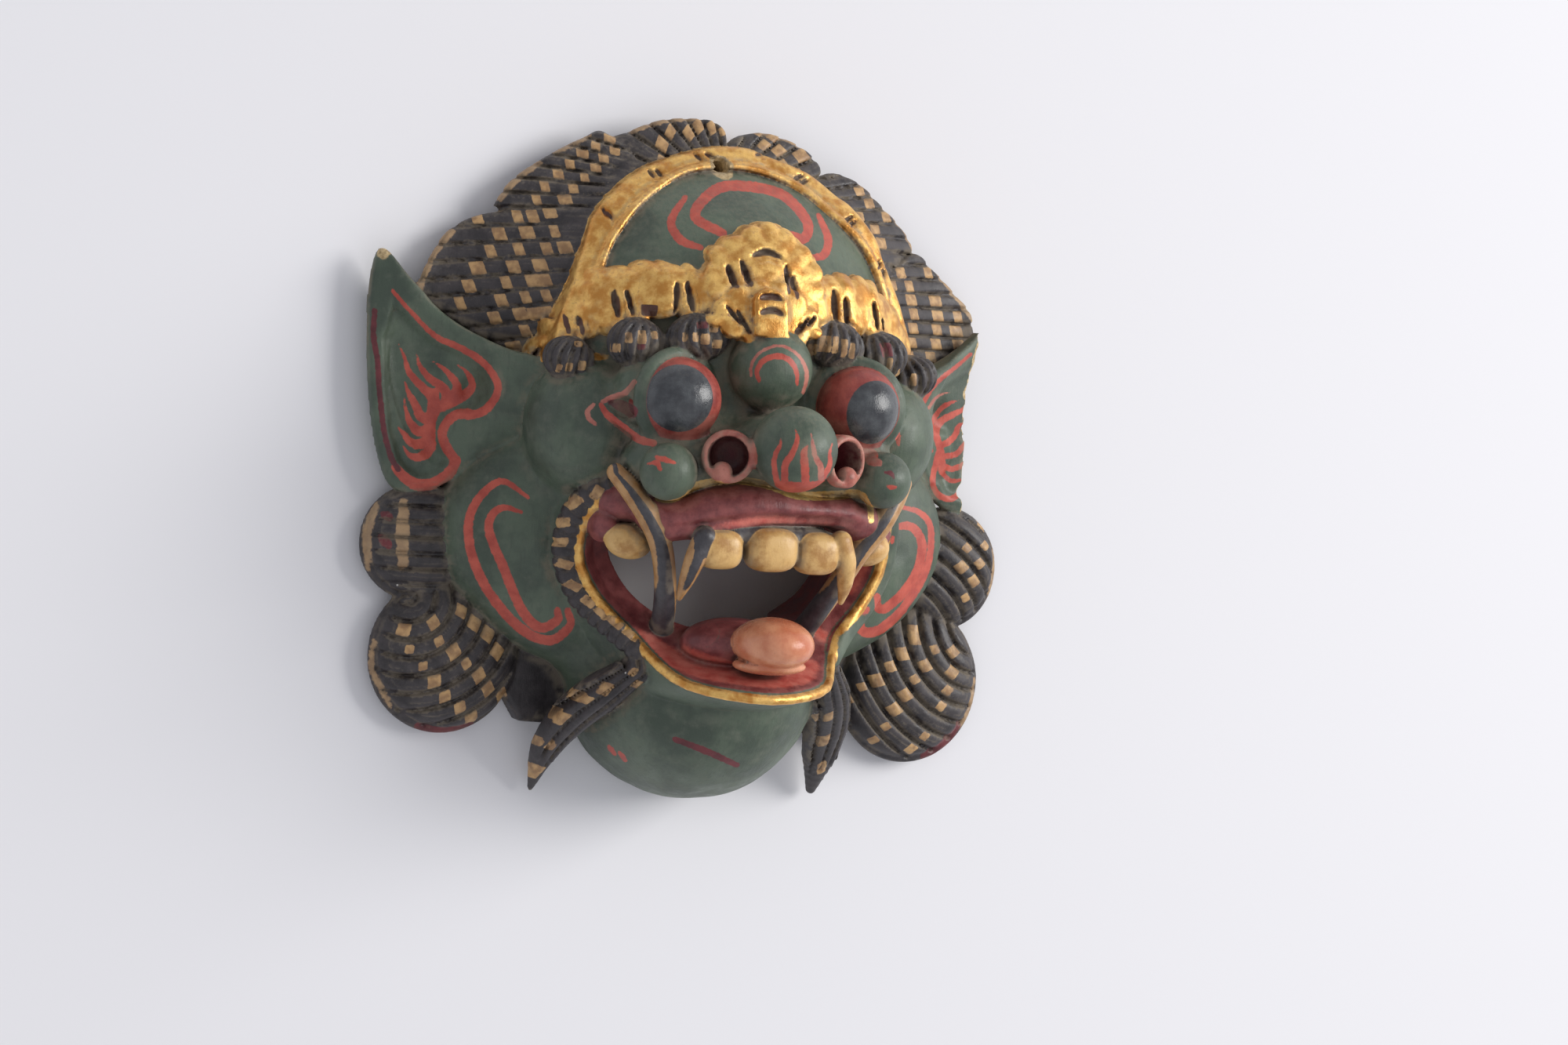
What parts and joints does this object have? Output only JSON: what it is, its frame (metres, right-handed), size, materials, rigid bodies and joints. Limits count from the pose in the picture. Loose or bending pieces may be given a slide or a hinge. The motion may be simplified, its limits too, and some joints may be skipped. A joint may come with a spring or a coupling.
{
  "type": "barong mask",
  "caption": "Carved and painted wooden demon mask with bulging eyes, open fanged mouth, leaf ears and gilt crown band, hollowed behind.",
  "frame": {"origin": "centre of the mask's bounding box in plan, on the plane of the flat back rim", "axes": "+X to the right across the face as seen from the front, +Y up the face from chin to hair, +Z out of the face; the mask lies on its back rim, face up"},
  "size_m": [0.2024, 0.1988, 0.0945],
  "materials": {
    "painted_wood": "hand-painted carved wood, satin, worn and dusty, with gold-leaf bands"
  },
  "bodies": {
    "root": {"mask": "painted_wood"}
  },
  "joints": []
}
